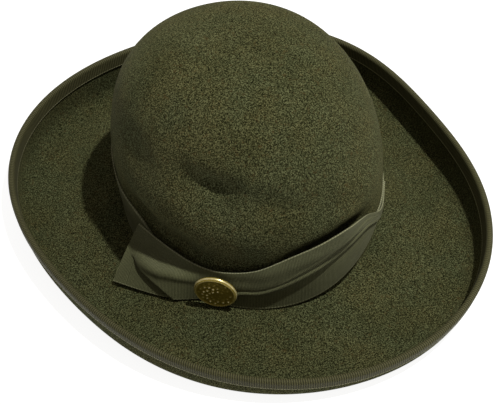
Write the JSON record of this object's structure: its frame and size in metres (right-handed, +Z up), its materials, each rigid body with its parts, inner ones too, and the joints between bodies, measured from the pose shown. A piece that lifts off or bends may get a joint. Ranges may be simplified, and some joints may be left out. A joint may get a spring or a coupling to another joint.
{
  "type": "felt hat",
  "caption": "Wide felt hat with a deep round crown, a turned-up bound brim, a draped ribbon with a cut tail and a round metal button.",
  "frame": {"origin": "on the resting surface, under the middle of the hat's outline", "axes": "+Z up, -Y the wearer's front, +X the wearer's left"},
  "size_m": [0.3072, 0.3304, 0.1514],
  "materials": {
    "felt": "matt wool felt, dark olive green with a light fuzz",
    "binding": "ribbed grosgrain, khaki olive",
    "ribbon": "finely ribbed grosgrain with a slight sheen, olive grey",
    "button_metal": "antique gold, dark in the recesses"
  },
  "bodies": {
    "root": {"felt_body": "felt", "edge_binding": "binding", "ribbon_band": "ribbon", "ribbon_sash": "ribbon", "button": "button_metal"}
  },
  "joints": []
}
